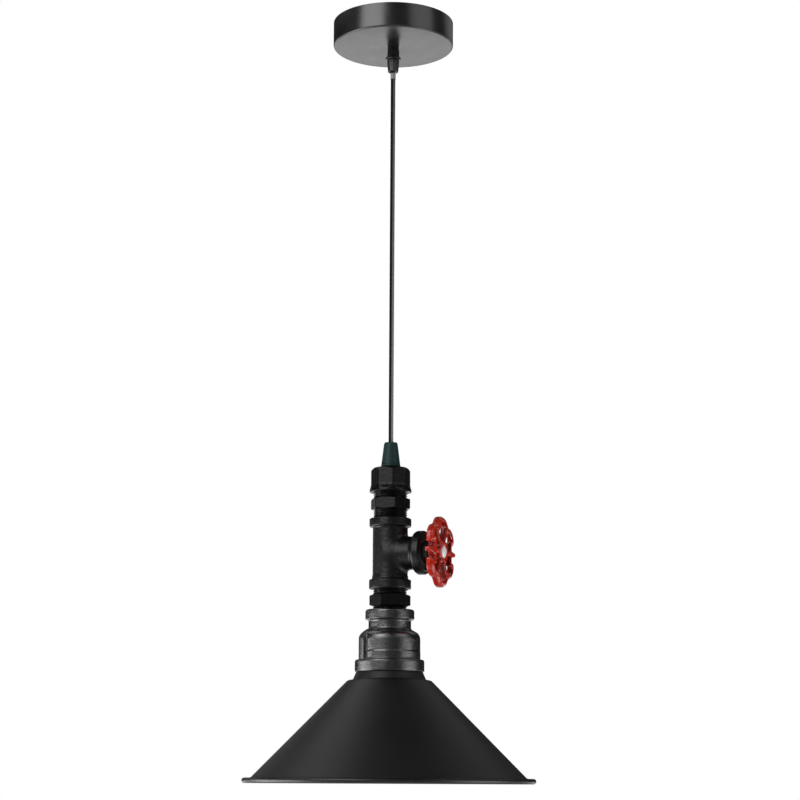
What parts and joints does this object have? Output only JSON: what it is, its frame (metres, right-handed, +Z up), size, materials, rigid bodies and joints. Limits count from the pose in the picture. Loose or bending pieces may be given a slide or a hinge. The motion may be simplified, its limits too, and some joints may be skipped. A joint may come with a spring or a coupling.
{
  "type": "pendant light",
  "caption": "Ceiling pendant light: a rose and black cable carry a stack of black pipe fittings with a red lobed handwheel over a wide conical metal shade.",
  "frame": {"origin": "middle of the mounting bracket's top face, where it meets the ceiling", "axes": "+Z up into the ceiling, the lamp hangs along -Z; +X along the tee's branch towards the handwheel"},
  "size_m": [0.3, 0.3, 0.8152],
  "materials": {
    "satin_black": "smooth satin black powder coat",
    "rose_black": "satin black paint",
    "cap_black": "satin black paint over machined steel",
    "cast_black": "matt black paint on a rough casting",
    "wheel_red": "gloss red enamel",
    "zinc_steel": "bright zinc plate",
    "brass": "plain brass",
    "black_plastic": "black moulded nylon",
    "green_plastic": "dark green moulded nylon",
    "ceramic_white": "glazed white ceramic",
    "block_white": "white moulded nylon",
    "cable_black": "smooth black flex",
    "sleeve_clear": "clear heat-shrunk sleeve",
    "rubber_black": "black rubber",
    "core_brown": "brown insulation",
    "core_blue": "blue insulation",
    "core_green": "green and yellow insulation"
  },
  "bodies": {
    "ceiling_mount": {"mounting_bracket": "zinc_steel", "ceiling_rose": "rose_black", "rose_screws": "zinc_steel", "terminal_block": "block_white", "terminal_screws": "brass", "block_screw": "zinc_steel", "earth_screw": "zinc_steel", "rose_live_core": "core_brown", "rose_neutral_core": "core_blue", "rose_earth_core": "core_green", "grip_body": "black_plastic", "grip_bush": "rubber_black", "grip_cone": "black_plastic", "grip_washer": "zinc_steel", "grip_nut": "zinc_steel", "cable_in_rose": "cable_black"},
    "cable_bend": {"cable_bend": "cable_black"},
    "pendant": {"pendant_cable": "cable_black", "cable_sleeve": "sleeve_clear", "cable_cone": "green_plastic", "cone_nut": "zinc_steel", "pipe_cap": "cap_black", "upper_nipple": "cap_black", "pipe_tee": "cast_black", "branch_plug": "cap_black", "lower_nipple": "cap_black", "reducing_socket": "cast_black", "anchor_disc": "zinc_steel", "carrier_disc": "zinc_steel", "holder_nipple": "zinc_steel", "anchor_nut": "zinc_steel", "carrier_nut": "zinc_steel", "holder_cap": "satin_black", "holder_earth_screw": "zinc_steel", "holder_skirt": "satin_black", "holder_insert": "ceramic_white", "screw_shell": "brass", "centre_contact": "brass", "contact_screws": "brass", "shade_ring": "satin_black", "cable_in_pipe": "cable_black", "live_core": "core_brown", "neutral_core": "core_blue", "earth_core": "core_green", "lamp_shade": "satin_black"},
    "wheel": {"valve_spindle": "zinc_steel", "spindle_clip": "zinc_steel", "hand_wheel": "wheel_red", "wheel_washer": "zinc_steel", "wheel_nut": "zinc_steel"}
  },
  "joints": [
    {"name": "swing_along_branch", "type": "hinge", "parent": "ceiling_mount", "child": "cable_bend", "pos_m": [0, 0, -0.054], "axis": [0, 1, 0], "range_deg": [-20, 20]},
    {"name": "swing_across_branch", "type": "hinge", "parent": "cable_bend", "child": "pendant", "pos_m": [0, 0, -0.054], "axis": [1, 0, 0], "range_deg": [-20, 20]},
    {"name": "handwheel_turn", "type": "hinge", "parent": "pendant", "child": "wheel", "pos_m": [0.0505, 0, -0.5803], "axis": [1, 0, 0], "continuous": true}
  ]
}
